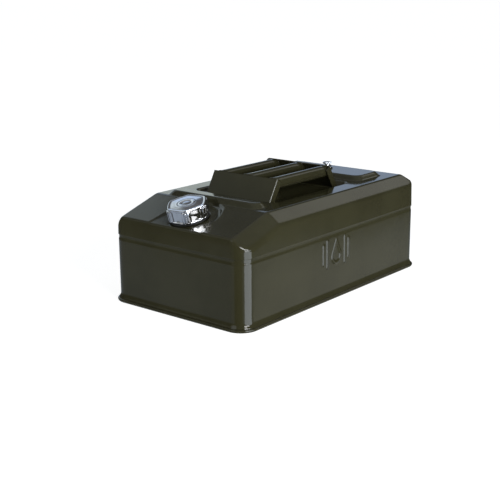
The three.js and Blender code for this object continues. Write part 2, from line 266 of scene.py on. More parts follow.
def pocket_height(x, y):
    """The filler's pocket: a leaning floor, round behind the neck and open down the slope."""
    floor = NECK_ORIGIN.z + NECK_GRADE * (x - NECK_ORIGIN.x)
    u = (x - NECK_ORIGIN.x) / math.cos(NECK_TILT)
    back = np.hypot(u, y) - POCKET_RADIUS
    side = (np.abs(y) - POCKET_RADIUS + 0.15 * u) / 1.011
    outside = np.where(u > 0, back, side)
    raised = floor + POCKET_RISE * ease((np.hypot(u, y) - POCKET_SEAT) / 1.0)
    return smooth_max(raised, raised + 2.2 * (outside + 1.2), 1.2)


def pan_height(x, y):
    """Outside height of the pressed top, without the rounding into the side walls."""
    slope = PLATEAU_Z + SLOPE_GRADE * (x - SLOPE_TOP_X)
    beside = np.abs(y) - (HALF_Y - CHAMFER_INSET)
    plateau = np.full_like(x, PLATEAU_Z)
    flat = smooth_min(plateau, PLATEAU_Z - CHAMFER_GRADE * beside, 2.6)
    flat = smooth_min(flat, PLATEAU_Z - CHAMFER_GRADE * (x - (HALF_X - CHAMFER_INSET)), 2.6)
    leaning = smooth_min(slope, slope - beside, 2.6)
    height = smooth_min(flat, leaning, 1.6)
    for span in (FRONT_PAD, REAR_PAD):
        height = smooth_max(height, pad_height(x, y, span), 1.4)
    height = smooth_min(height, recess_height(x, y), 1.6)
    return smooth_min(height, pocket_height(x, y), 0.9)


def pan_point_rows(bands, thickness):
    """Inner grid and rings of the pan's outside, or of its inside when given a thickness."""
    step = 0.05

    def placed(x, y, drop):
        z = pan_height(x, y)
        gx = (pan_height(x + step, y) - pan_height(x - step, y)) / (2 * step)
        gy = (pan_height(x, y + step) - pan_height(x, y - step)) / (2 * step)
        size = np.sqrt(gx * gx + gy * gy + 1)
        points = np.stack([x, y, z - drop], -1)
        normals = np.stack([-gx, -gy, np.ones_like(gx)], -1) / size[..., None]
        return points - thickness * normals

    gx, gy = np.meshgrid(bands.xs, bands.ys, indexing="ij")
    grid = placed(gx, gy, 0.0)
    rows = []
    for inset in (29.6, 28.4, 27.4, 26.3, 25.2, 24.0, 22.0, 18.5, 14.5, 10.5, 7.5, 5.8):
        xy = bands.ring(-inset)
        rows.append(placed(xy[:, 0], xy[:, 1], 0.0))
    inner = EDGE_ROUND - thickness * 0.6
    shoulder = SKIRT_LEAN * 40.0
    for k in range(9):
        phi = math.pi / 2 * k / 8
        inset = inner * (1 - math.sin(phi)) + thickness + shoulder
        drop = inner * (1 - math.cos(phi))
        xy = bands.ring(-inset)
        z = pan_height(xy[:, 0], xy[:, 1]) - drop - thickness * 0.8
        rows.append(np.column_stack([xy, z]))
    edge = rows[-1]
    lowest = SEAM_Z + 0.6
    for t in (0.1, 0.3, 0.5, 0.7, 0.88, 0.97, 1.0):
        z = edge[:, 2] + (lowest - edge[:, 2]) * t
        lean = SKIRT_LEAN * np.maximum(z - lowest, 0.0)
        rows.append(np.column_stack([bands.ring(-thickness - lean), z]))
    return grid, rows


def snap_hole(points, centre, axis_tilt, radius):
    """Moves the points next to a hole onto its rim."""
    dx = (points[:, 0] - centre[0]) / math.cos(axis_tilt)
    dy = points[:, 1] - centre[1]
    reach = np.hypot(dx, dy)
    scale = radius / reach
    points[:, 0] = centre[0] + dx * scale * math.cos(axis_tilt)
    points[:, 1] = centre[1] + dy * scale
    return points


def make_top_pan():
    half = HALF_X - CORNER
    side = HALF_Y - CORNER
    zones = [(-269, -154), (-133, -120), (120, 133), (143, 156), (182, 208), (227, 240)]
    xs = spaced(-half, half, zones, 1.7, 7.0)
    upper = spaced(0, side, [(0, 12), (26, 30), (54, 66), (94, 121)], 1.7, 5.0)
    ys = np.concatenate([-upper[:0:-1], upper])
    bands = Bands(xs, ys)
    nx, ny = len(xs), len(ys)
    holes = (
        ((NECK_ORIGIN.x, 0.0), NECK_TILT, NECK_HOLE),
        ((VENT_X, 0.0), 0.0, VENT_HOLE),
    )
    points, faces = [], []
    layers = []
    for thickness in (0.0, SHEET):
        start = len(points)
        grid, rows = pan_point_rows(bands, thickness)
        flat = grid.reshape(-1, 3)
        gone = np.zeros(len(flat), bool)
        outer_flat = layers[0]["flat"] if layers else flat.copy()
        for centre, tilt, radius in holes:
            reach = np.hypot((outer_flat[:, 0] - centre[0]) / math.cos(tilt), outer_flat[:, 1] - centre[1])
            gone |= reach < radius + 0.2
        number = lambda i, j: start + i * ny + j
        kept = []
        lost = gone.reshape(nx, ny)
        open_cell = lost[:-1, :-1] | lost[1:, :-1] | lost[1:, 1:] | lost[:-1, 1:]
        for i in range(nx - 1):
            for j in range(ny - 1):
                if not open_cell[i, j]:
                    kept.append([number(i, j), number(i + 1, j), number(i + 1, j + 1), number(i, j + 1)])
        padded = np.zeros((nx + 1, ny + 1), bool)
        padded[1:-1, 1:-1] = open_cell
        rim = padded[:-1, :-1] | padded[1:, :-1] | padded[1:, 1:] | padded[:-1, 1:]
        rim = rim.ravel() & ~gone
        for centre, tilt, radius in holes:
            near = rim & (np.hypot(flat[:, 0] - centre[0], flat[:, 1] - centre[1]) < radius + 12)
            moved = snap_hole(flat[near].copy(), centre, tilt, radius)
            moved[:, 2] = pan_height(moved[:, 0], moved[:, 1]) - thickness * 1.03
            flat[near] = moved
        points.extend(flat.tolist())
        ring_numbers = [[number(i, j) for i, j in bands.grid]]
        ring_numbers += [add_row(points, row.tolist()) for row in rows]
        kept.extend(skin(ring_numbers, down=True))
        layers.append({"flat": flat, "faces": kept, "last": ring_numbers[-1]})
    outer, inner = layers
    shift = len(points) // 2
    faces.extend(outer["faces"])
    faces.extend([face[::-1] for face in inner["faces"]])
    # the hole rims: every open edge of the outside is joined to its twin on the inside
    used = {}
    for face in outer["faces"]:
        for a, b in zip(face, face[1:] + face[:1]):
            used[(a, b)] = True
    last = set(outer["last"])
    for a, b in used:
        if (b, a) not in used and not (a in last and b in last):
            faces.append([b, a, a + shift, b + shift])
    # the bottom lip
    previous = outer["last"]
    lip = [(-0.17, SEAM_Z + 0.17), (-0.6, SEAM_Z), (-1.03, SEAM_Z + 0.17)]
    for offset, z in lip:
        row = add_row(points, [[x, y, z] for x, y in bands.ring(offset)])
        faces.extend(strip(row, previous))
        previous = row
    faces.extend(strip(inner["last"], previous))
    points, faces = drop_unused(points, faces)
    return finish_mesh("pan_top", "can", points, faces, paint, sharp=60,
                       replaces=["top_pan"])


def drop_unused(points, faces):
    """Leaves out points that no face uses."""
    used = sorted({v for face in faces for v in face})
    number = {v: i for i, v in enumerate(used)}
    return [points[v] for v in used], [[number[v] for v in face] for face in faces]


# ---------------------------------------------------------------- lower body
MARK_X, MARK_Z = (-62.0, 44.0), (61.0, 129.0)
MARK_RISE = 1.2


def mark_height(x, z):
    """Pressed decoration on the near long side: a drop between upright bars."""
    cx, cz = (MARK_X[0] + MARK_X[1]) / 2, (MARK_Z[0] + MARK_Z[1]) / 2

    def ridge(distance, half_width):
        return ease((half_width - distance) / 2.2 + 0.5)

    low = cz - 9.0
    radius = 17.0
    tip = cz + 30.0
    round_part = np.hypot(x - cx, z - low) - radius
    span = tip - low
    tangent = math.asin(radius / span)
    side = np.abs(x - cx) * math.cos(tangent) - (tip - z) * math.sin(tangent)
    foot = low + radius * math.sin(tangent)
    drop = np.where(z > foot, side, round_part)
    height = ridge(np.abs(drop + 3.2), 3.0)
    for offset, half_length in ((30.0, 27.0), (43.0, 19.0)):
        for sign in (-1, 1):
            along = np.maximum(np.abs(z - cz) - half_length, 0.0)
            height = np.maximum(height, ridge(np.hypot(x - cx - sign * offset, along), 3.2))
    return height


def make_shell():
    half, side = HALF_X - CORNER, HALF_Y - CORNER
    xs = spaced(-half, half, [(MARK_X[0] - 6, MARK_X[1] + 6)], 1.25, 14.0)
    upper = spaced(0, side, [(side - 2, side)], 3.0, 14.0)
    ys = np.concatenate([-upper[:0:-1], upper])
    bands = Bands(xs, ys, arc_steps=14)
    near = (bands.out[:, 1] < -0.999)
    sides = np.where(np.abs(bands.out[:, 0]) > 0.999, np.abs(bands.base[:, 1]) / side,
                     np.where(np.abs(bands.out[:, 1]) > 0.999, np.abs(bands.base[:, 0]) / half, 1.0))
    swell = 0.6 * (1 - ease((sides - 0.1) / 0.95))
    lap = -SHEET - GAP
    face = -0.6
    profile = [(lap, SEAM_Z + 11.0), (lap, 134.0), (lap, 131.0), (lap + 0.06, 130.2), (lap + 0.3, 129.3),
               (-0.95, 128.2), (-0.68, 127.3), (face, 126.4)]
    heights = spaced(17.0, 125.4, [(MARK_Z[0] - 4, 125.4)], 1.3, 6.0)[::-1]
    profile += [(face, z) for z in heights]
    foot = [(-0.55, 15.5), (-0.2, 13.6), (0.45, 11.6), (1.3, 9.9), (2.2, 8.4), (2.8, 7.2), (3.0, 6.5)]
    profile += foot
    rows = []
    for offset, z in profile:
        rise = max(0.0, math.sin(math.pi * min(max((z - 14.0) / 113.0, 0), 1)))
        move = np.full(bands.count, offset) + swell * rise
        move = move + np.where(near, MARK_RISE * mark_height(bands.base[:, 0], np.full(bands.count, z)), 0.0)
        rows.append(np.column_stack([bands.ring(move), np.full(bands.count, z)]))
    inner = []
    for offset, z in [(3.0 - SHEET, 6.5), (1.3 - SHEET, 9.4), (-1.0 - SHEET, 14.0)]:
        inner.append((offset, z, 0.0))
    for z in np.linspace(20.0, 122.0, 12):
        inner.append((face - SHEET, z, max(0.0, math.sin(math.pi * (z - 14.0) / 113.0))))
    inner += [(face - SHEET, 127.0, 0.0), (lap - SHEET, 130.0, 0.0), (lap - SHEET, SEAM_Z + 11.0, 0.0)]
    for offset, z, rise in inner:
        rows.append(np.column_stack([bands.ring(offset + swell * rise), np.full(bands.count, z)]))
    points = []
    numbers = [add_row(points, row.tolist()) for row in rows]
    faces = skin(numbers, closed=True, down=True)
    return finish_mesh("side_shell", "can", points, faces, paint, sharp=50,
                       replaces=["body_shell"])


def body_bands():
    half, side = HALF_X - CORNER, HALF_Y - CORNER
    return Bands(np.linspace(-half, half, 25), np.linspace(-side, side, 13), arc_steps=14)


def make_rim():
    """Rolled seam at the foot: a bead whose upper lip is a little narrower than its belly."""
    bands = body_bands()
    outer, height = rim_high[0] - HALF_X, rim_high[2]
    section = [(-4.0, height - 0.3), (1.6, height - 0.1), (2.6, height + 0.15), (3.6, height + 0.05)]
    belly = [(outer - 2.0 + 2.0 * math.sin(a), height / 2 + 0.2 + 2.6 * math.cos(a))
             for a in np.linspace(0.25, math.pi - 0.35, 11)]
    section += belly
    section += [(outer - 1.5, 0.12), (outer - 2.6, 0.0), (1.0, 0.0), (-3.2, 0.0), (-3.8, 0.25), (-4.0, 0.8)]
    points, rows = band_rows(bands, section)
    faces = skin(rows, closed=True, down=True)
    return finish_mesh("foot_bead", "can", points, faces, paint, sharp=50,
                       replaces=["bottom_rim"])


def make_bottom():
    """Pressed bottom panel, raised above the floor inside the bead."""
    bands = body_bands()
    wall = -4.3
    half, side = HALF_X - CORNER, HALF_Y - CORNER
    under = [(wall, 5.0), (wall, 1.2), (wall - 0.4, 0.9), (wall - 1.1, 1.0), (wall - 1.5, 1.6)]
    under += [(wall - 1.8, 3.2), (wall - 2.4, 4.6), (wall - 3.6, 5.8), (wall - 5.4, 6.9), (wall - 7.6, 7.6),
              (wall - 10.0, 7.8)]
    over = [(wall - 10.0, 9.0), (wall - 7.2, 8.8), (wall - 4.6, 8.0), (wall - 2.8, 6.8), (wall - 1.5, 5.4),
            (wall - 0.4, 5.3)]
    points, numbers = band_rows(bands, under + over)
    faces = skin(numbers[:len(under)], down=True) + skin(numbers[len(under):], down=True)
    faces.extend(strip(numbers[0], numbers[-1]))
    # middle panels, with a gentle dish
    nx, ny = len(bands.xs), len(bands.ys)
    for ring, base_z, flip in ((numbers[len(under) - 1], 7.8, True), (numbers[len(under)], 9.0, False)):
        start = len(points)
        for x in bands.xs:
            for y in bands.ys:
                fall = (1 - (x / half) ** 2) * (1 - (y / side) ** 2)
                points.append([x, y, base_z + 0.9 * fall])
        panel = []
        for i in range(nx - 1):
            for j in range(ny - 1):
                panel.append([start + i * ny + j, start + (i + 1) * ny + j,
                              start + (i + 1) * ny + j + 1, start + i * ny + j + 1])
        edge = [start + i * ny + j for i, j in bands.grid]
        panel.extend(strip(ring, edge))
        faces.extend([f[::-1] for f in panel] if flip else panel)
    return finish_mesh("bottom_panel", "can", points, faces, paint, sharp=50,
                       replaces=["bottom_pan"])


# ---------------------------------------------------------------- turned pieces
def neck_space(points):
    """Moves points from the filler's own frame into the object's frame."""
    c, s = math.cos(NECK_TILT), math.sin(NECK_TILT)
    p = np.asarray(points, float)
    x, y, z = p[:, 0], p[:, 1], p[:, 2]
    return np.column_stack([c * x - s * z + NECK_ORIGIN.x, y + NECK_ORIGIN.y, s * x + c * z + NECK_ORIGIN.z])


def rounded(section, radius, steps=4):
    """Rounds the corners of a closed section of (r, z) points."""
    out = []
    count = len(section)
    for i in range(count):
        a, b, c = (Vector(section[(i + k) % count]) for k in (-1, 0, 1))
        before, after = (a - b), (c - b)
        turn = before.angle(after)
        if turn > math.radians(165):
            out.append(tuple(b))
            continue
        reach = min(radius, before.length * 0.45, after.length * 0.45)
        p, q = b + before.normalized() * reach, b + after.normalized() * reach
        for k in range(steps + 1):
            t = k / steps
            out.append(tuple((1 - t) ** 2 * p + 2 * t * (1 - t) * b + t * t * q))
    return out


def turned(section, columns, shape=None, closed=True):
    """Spins (r, z) points about +Z. A shape function may change the radius by angle and height."""
    angles = np.arange(columns) * 2 * math.pi / columns
    points, numbers = [], []
    for r, z in section:
        radii = np.full(columns, r) if shape is None else shape(angles, r, z)
        numbers.append(add_turn(points, radii, angles, z))
    return points, skin(numbers, closed)


def helix_shift(angles, z, pitch, depth, sharp=0.5):
    """Depth of a thread's groove at each angle and height."""
    turn = (z / pitch - angles / (2 * math.pi)) % 1.0
    wave = np.abs(turn - 0.5) * 2
    return depth * ease((wave - 0.5 + sharp / 2) / sharp)


# ---------------------------------------------------------------- filler
CAP_BASE, CAP_TOP = 5.5, 33.5
CAP_FLAT, CAP_CORNER = 36.6, 39.6
CAP_PANEL_ANGLE = math.radians(7.5)
CAP_CROWN = 0.8
RIB_PLACES = (-5.3, 0.0, 5.3)
RIB_ZONE, RIB_RISE = 8.4, 3.0
PANEL_DEPTH = 0.9
CAP_COLUMNS = 6 * 76
THREAD_PITCH = 4.0


def corner_angle(angles):
    """Angle from the nearest corner of the six-sided cap."""
    sixth = math.pi / 3
    return (angles - CAP_PANEL_ANGLE) % sixth - sixth / 2


def cap_outline(angles, flat, corner):
    """Six slightly crowned flats with rounded corners."""
    sixth = math.pi / 3
    from_flat = (angles - CAP_PANEL_ANGLE + sixth / 2) % sixth - sixth / 2
    side = flat / np.cos(CAP_CROWN * from_flat)
    return smooth_min(side, np.full_like(angles, corner), 0.8)


def make_cap():
    """Chrome screw cap: six pressed panels, three ribs on each corner and a crowned top in a raised rim."""
    top = CAP_TOP
    rows = [
        # height, offset from the outline, share of the rib relief, share of the panel recess
        (CAP_BASE, -2.6, 0, 0), (CAP_BASE + 0.05, -1.6, 0, 0), (CAP_BASE + 0.25, -0.5, 0, 0),
        (CAP_BASE + 0.6, 0.2, 0, 0), (CAP_BASE + 1.1, 0.5, 0.1, 0), (CAP_BASE + 1.7, 0.4, 0.25, 0),
        (CAP_BASE + 2.3, -0.1, 0.5, 0.3), (CAP_BASE + 2.8, -0.7, 0.85, 0.85), (CAP_BASE + 3.4, -1.0, 1, 1),
        (CAP_BASE + 3.8, -0.98, 1, 1), (CAP_BASE + 7.0, -0.82, 1, 1), (CAP_BASE + 11.0, -0.61, 1, 1),
        (CAP_BASE + 15.0, -0.4, 1, 1), (CAP_BASE + 19.0, -0.2, 1, 1), (top - 5.8, -0.04, 1, 1),
        (top - 5.4, -0.02, 1, 1), (top - 4.8, -0.1, 0.95, 0.85),
        (top - 4.3, -0.1, 0.7, 0.3), (top - 3.9, -0.15, 0.3, 0), (top - 3.6, -0.2, 0.0, 0),
        (top - 3.2, -0.05, 0, 0), (top - 2.6, 0.1, 0, 0), (top - 1.6, 0.1, 0, 0), (top - 0.9, 0.05, 0, 0),
        (top - 0.45, -0.12, 0, 0), (top - 0.15, -0.45, 0, 0), (top, -0.95, 0, 0), (top, -1.6, 0, 0),
        (top - 0.06, -2.3, 0, 0), (top - 0.2, -3.0, 0, 0), (top - 0.34, -3.8, 0, 0), (top - 0.4, -4.8, 0, 0),
        (top - 0.38, -6.2, 0, 0),
    ]
    angles = np.arange(CAP_COLUMNS) * 2 * math.pi / CAP_COLUMNS
    away = corner_angle(angles) * CAP_CORNER
    panel = ease((np.abs(away) - RIB_ZONE) / 1.6)
    ribs = np.maximum.reduce([ease((1.7 - np.abs(away - place)) / 1.3 + 0.5) for place in RIB_PLACES])
    zone = ease((RIB_ZONE + 1.2 - np.abs(away)) / 1.4)
    points, numbers = [], []
    for z, offset, relief, recess in rows:
        base = cap_outline(angles, CAP_FLAT, CAP_CORNER) + offset
        radii = base + relief * zone * (RIB_RISE * ribs + 0.3) - recess * PANEL_DEPTH * panel
        numbers.append(add_turn(points, radii, angles, z))
    # the crowned middle turns from six-sided to round, with two raised rings
    dish = [(29.6, top - 0.34), (28.0, top - 0.26), (26.0, top - 0.14), (23.0, top + 0.02),
            (20.6, top + 0.14), (19.6, top + 0.26), (18.8, top + 0.28), (18.0, top + 0.2),
            (17.0, top + 0.22), (15.6, top + 0.3), (14.8, top + 0.5), (14.0, top + 0.72),
            (13.2, top + 0.76), (12.4, top + 0.6), (11.7, top + 0.2),
            (11.0, top - 0.1), (10.0, top - 0.22), (8.0, top - 0.18), (5.6, top - 0.1), (3.4, top - 0.05),
            (1.6, top - 0.02), (0.0, top)]
    for r, z in dish:
        share = ease((r - 21.0) / 8.0)
        six = cap_outline(angles, CAP_FLAT, CAP_CORNER) / CAP_FLAT * r
        radii = r * (1 - share) + six * share
        numbers.append(add_turn(points, radii, angles, z))
    hollow = CAP_FLAT - 1.8
    inside = [(0.0, top - 4.4), (8.0, top - 4.4), (20.0, top - 4.2), (hollow - 2.0, top - 4.2),
              (hollow - 0.8, top - 4.6), (hollow, top - 5.6), (hollow, top - 14.0), (hollow, CAP_BASE + 1.0),
              (hollow + 0.3, CAP_BASE + 0.1), (hollow + 0.9, CAP_BASE)]
    inside_numbers = [add_turn(points, r, angles, z) for r, z in inside]
    faces = skin(numbers) + skin(inside_numbers)
    faces.extend(strip(inside_numbers[-1], numbers[0]))
    return finish_mesh("screw_cap", "filler_cap", neck_space(points), faces, chrome, sharp=55,
                       replaces=["filler_cap"])


def make_filler():
    # neck: a tube with a coarse thread under its mouth
    profile = [(24.5, -5.5), (28.0, -4.6), (33.0, -3.5), (33.0, -1.5), (27.0, -1.5), (27.0, 3.0)]
    profile += [(27.0, z) for z in np.linspace(3.6, 20.4, 52)]
    profile += [(27.0, 20.9), (26.7, 21.6), (26.0, 22.0), (25.3, 22.0), (24.7, 21.7), (24.5, 21.0)]
    profile += [(24.5, 12.0)]

    def threaded(angles, r, z):
        fade = ease((z - 3.2) / 2.0) * ease((20.8 - z) / 1.6) if r > 26.9 else 0.0
        return r - fade * helix_shift(angles, z, THREAD_PITCH, 1.1)

    points, faces = turned(profile, 120, threaded)
    finish_mesh("neck_tube", "can", neck_space(points), faces, zinc, sharp=50,
                replaces=["filler_neck"])

    points, faces = turned(rounded([(27.3, 0.3), (37.0, 0.3), (37.0, 1.5), (27.3, 1.5)], 0.5), 120)
    finish_mesh("neck_base_ring", "can", neck_space(points), faces, paint, sharp=50,
                replaces=["neck_flange"])

    # black rubber boot ring, partly a real gasket and partly painted shade: it is made wide so that its black
    # fills the shaded gap under the cap
    points, faces = turned(rounded([(27.3, 1.8), (39.0, 1.8), (39.0, 4.9), (27.3, 4.9)], 1.1, 6), 120)
    finish_mesh("neck_boot_ring_and_painted_shade", "can", neck_space(points), faces, rubber, sharp=50,
                replaces=["neck_collar"])

    # thread ring inside the cap
    ring_low, ring_high = 6.5, 20.0
    profile = [(34.9, z) for z in (6.9, 13.0, 19.6)] + [(34.5, 20.0), (28.2, 20.0)]
    profile += [(27.6, z) for z in np.linspace(19.6, 6.9, 42)]
    profile += [(28.2, 6.5), (34.5, 6.5)]

    def inner_thread(angles, r, z):
        if r > 27.7:
            return np.full_like(angles, r)
        fade = ease((z - ring_low) / 2.0) * ease((ring_high - z) / 2.0)
        return r + 0.9 * fade * (1 - helix_shift(angles, z, THREAD_PITCH, 1.0))

    points, faces = turned(profile, 120, inner_thread)
    finish_mesh("thread_insert", "filler_cap", neck_space(points), faces, zinc, sharp=50,
                replaces=["cap_thread_ring"])

    points, faces = turned(rounded([(18.0, 22.3), (27.0, 22.3), (27.0, 24.6), (18.0, 24.6)], 0.7), 96)
    finish_mesh("sealing_washer", "cap_gasket", neck_space(points), faces, rubber, sharp=50,
                replaces=["cap_gasket"])

    section = [(5.0, 24.9), (12.0, 24.9), (13.0, 25.2), (15.0, 25.2), (16.0, 24.9), (32.0, 24.9),
               (32.0, 26.6), (16.0, 26.6), (14.9, 26.6), (13.0, 26.6), (5.0, 26.6)]
    points, faces = turned(rounded(section, 0.5, 3), 96)
    finish_mesh("pressure_plate", "cap_seal_plate", neck_space(points), faces, zinc, sharp=50,
                replaces=["cap_seal_plate"])

    section = [(0.0, 22.6), (7.2, 22.6), (7.8, 22.9), (8.0, 23.4), (8.0, 24.2), (7.6, 24.6), (4.5, 24.6),
               (4.5, 28.6), (4.1, 29.2), (0.0, 29.2)]
    points, faces = turned(section, 64, closed=False)
    finish_mesh("centre_rivet", "filler_cap", neck_space(points), faces, zinc, sharp=50,
                replaces=["cap_rivet"])


# ---------------------------------------------------------------- handle
HANDLE_TOP_Z = bracket_high[2]
HANDLE_HALF_Y = bracket_high[1]
HANDLE_TOP_X = 90.0
LEAN = math.radians(30.0)
BRACKET_SHEET, BRACKET_FLANGE = 2.0, 16.0
BAR_RADIUS, BAR_WALL = 12.0, 1.5
BAR_Z = HANDLE_TOP_Z - BAR_RADIUS
BAR_PLACES = {"left": 67.0, "middle": 0.0, "right": -67.0}


def channel_section():
    """The bracket's bent sheet, seen along its slope: (depth behind the outer face, y)."""
    def path(inset):
        half = HANDLE_HALF_Y - inset
        bend = 3.0 - inset
        line = [(BRACKET_FLANGE, half)]
        for k in range(9):
            a = math.pi / 2 * k / 8
            line.append((inset + bend * (1 - math.sin(a)), half - bend * (1 - math.cos(a))))
        return line + [(d, -y) for d, y in reversed(line)]

    outer, inner = path(0.0), path(BRACKET_SHEET)
    return outer + inner[::-1]


def slope_point(depth, y, rise):
    """A point on the rear bracket: depth behind its outer face, y across, rise up the lean from the floor."""
    foot_x = HANDLE_TOP_X + (HANDLE_TOP_Z - FLOOR_Z) * math.tan(LEAN)
    x = foot_x - rise * math.sin(LEAN) - depth * math.cos(LEAN)
    z = FLOOR_Z + rise * math.cos(LEAN) - depth * math.sin(LEAN)
    return [x, y, z]


def make_bracket(name, node, side):
    section = channel_section()
    length = (HANDLE_TOP_Z - FLOOR_Z) / math.cos(LEAN)
    foot_z = FLOOR_Z + GAP
    points, rows = [], []
    for share in (0.0, 0.2, 0.5, 0.8, 1.0):
        row = []
        for depth, y in section:
            low = (foot_z - FLOOR_Z + depth * math.sin(LEAN)) / math.cos(LEAN)
            row.append(len(points))
            points.append(slope_point(depth, y, low + (length - low) * share))
        rows.append(row)
    faces = skin(rows)
    half = len(section) // 2
    for row, flip in ((rows[0], True), (rows[-1], False)):
        for k in range(half - 1):
            face = [row[k], row[k + 1], row[-k - 2], row[-k - 1]]
            faces.append(face if flip else face[::-1])
    if side < 0:
        points = [[-x, -y, z] for x, y, z in points]
    piece = finish_mesh(name, "can", points, faces, paint, replaces=[node])
    soften(piece, 0.55, 3)
    return piece


def make_foot(name, side):
    """The bracket's foot: a strip on the recess floor, spot welded through to the doubler."""
    foot_x = HANDLE_TOP_X + (HANDLE_TOP_Z - FLOOR_Z) * math.tan(LEAN)
    x0, x1 = foot_x - 22.0, foot_x - 1.6
    y1 = HANDLE_HALF_Y - 4.5
    z0, z1 = FLOOR_Z + GAP, FLOOR_Z + GAP + BRACKET_SHEET
    dimples = [(x0 + 8.0, y) for y in (-66.0, -33.0, 0.0, 33.0, 66.0)]
    xs = spaced(x0, x1, [(x0 + 3.5, x0 + 12.5)], 0.8, 3.0)
    ys = spaced(-y1, y1, [(y - 4.5, y + 4.5) for _, y in dimples], 0.8, 5.0)
    nx, ny = len(xs), len(ys)
    points, faces = [], []
    for z, top in ((z0, False), (z1, True)):
        for x in xs:
            for y in ys:
                sink = 0.0
                if top:
                    reach = min(math.hypot(x - a, y - b) for a, b in dimples)
                    sink = 0.5 * float(ease((4.0 - reach) / 1.6)) - 0.18 * float(ease((1.9 - reach) / 1.2))
                points.append([side * x, side * y, z - sink])
    number = lambda k, i, j: k * nx * ny + i * ny + j
    for i in range(nx - 1):
        for j in range(ny - 1):
            top = [number(1, i, j), number(1, i + 1, j), number(1, i + 1, j + 1), number(1, i, j + 1)]
            faces.append(top)
            faces.append([v - nx * ny for v in top][::-1])
    edge = [(i, 0) for i in range(nx - 1)] + [(nx - 1, j) for j in range(ny - 1)]
    edge += [(i, ny - 1) for i in range(nx - 1, 0, -1)] + [(0, j) for j in range(ny - 1, 0, -1)]
    faces.extend(strip([number(0, i, j) for i, j in edge], [number(1, i, j) for i, j in edge]))
    piece = finish_mesh(name, "can", points, faces, paint)
    soften(piece, 0.4, 2)
    return piece


def soften(piece, width, segments):
    """Rounds the sheet's cut edges."""
    bevel = piece.modifiers.new("round_edges", "BEVEL")
    bevel.width = width * MM
    bevel.segments = segments
    bevel.limit_method = "ANGLE"
    bevel.angle_limit = math.radians(50)
    bevel.harden_normals = False
    piece.data.set_sharp_from_angle(angle=math.radians(75))


def bracket_face_x(z, clearance):
    return HANDLE_TOP_X + (HANDLE_TOP_Z - z) * math.tan(LEAN) - (BRACKET_SHEET + clearance) / math.cos(LEAN)


def make_bar(name, node, y):
    """A round tube, mitred against the leaning brackets."""
    columns = 64
    angles = np.arange(columns) * 2 * math.pi / columns
    points, rows = [], []
    sections = [(BAR_RADIUS - BAR_WALL, s) for s in (1.0, 0.5, -0.5, -1.0)]
    sections += [(BAR_RADIUS - 0.5, -1.0), (BAR_RADIUS, -0.995)]
    sections += [(BAR_RADIUS, s) for s in (-0.8, -0.4, 0.0, 0.4, 0.8, 0.995)] + [(BAR_RADIUS - 0.5, 1.0)]
    for radius, share in sections:
        row = []
        for a in angles:
            z = BAR_Z + radius * math.sin(a)
            x = bracket_face_x(z, GAP) * share
            row.append(len(points))
            points.append([x, y + radius * math.cos(a), z])
        rows.append(row)
    faces = skin(rows, closed=True)
    return finish_mesh(name, "can", points, faces, paint, sharp=50, replaces=[node])


def make_bar_weld(name, y, side, seed):
    """Fillet of weld around a bar's end, laid down in overlapping ripples."""
    rng = np.random.default_rng(seed)
    columns, around = 110, 12
    phase, lumps = rng.uniform(0, 6.28), rng.uniform(-1, 1, 9)
    points, rows = [], []
    for k in range(columns):
        a = 2 * math.pi * k / columns
        ripple = 1 + 0.10 * abs(math.sin(13 * a + phase)) + 0.07 * lumps[int(k / columns * 9) % 9]
        size = 1.5 * ripple
        row = []
        for m in range(around):
            b = 2 * math.pi * m / around
            radius = BAR_RADIUS - 0.6 + size * (0.15 + 0.85 * math.cos(b))
            z = BAR_Z + radius * math.sin(a)
            x = bracket_face_x(z, 0.0) - size * (0.35 + 0.75 * math.sin(b))
            row.append(len(points))
            points.append([side * x, y + side * radius * math.cos(a), z])
        rows.append(row)
    faces = skin(rows, closed=True)
    return finish_mesh(name, "can", points, faces, paint)


def make_handle():
    make_bracket("handle_plate_rear", "handle_rear_bracket", 1)
    make_bracket("handle_plate_front", "handle_front_bracket", -1)
    make_foot("handle_foot_rear", 1)
    make_foot("handle_foot_front", -1)
    for index, (place, y) in enumerate(BAR_PLACES.items()):
        make_bar("grip_bar_" + place, "handle_bar_" + place, y)
        for side, end in ((1, "rear"), (-1, "front")):
            make_bar_weld("weld_" + place + "_" + end, y, side, 7 + 2 * index + (side > 0))


# ---------------------------------------------------------------- vent
VENT_PITCH = 1.25


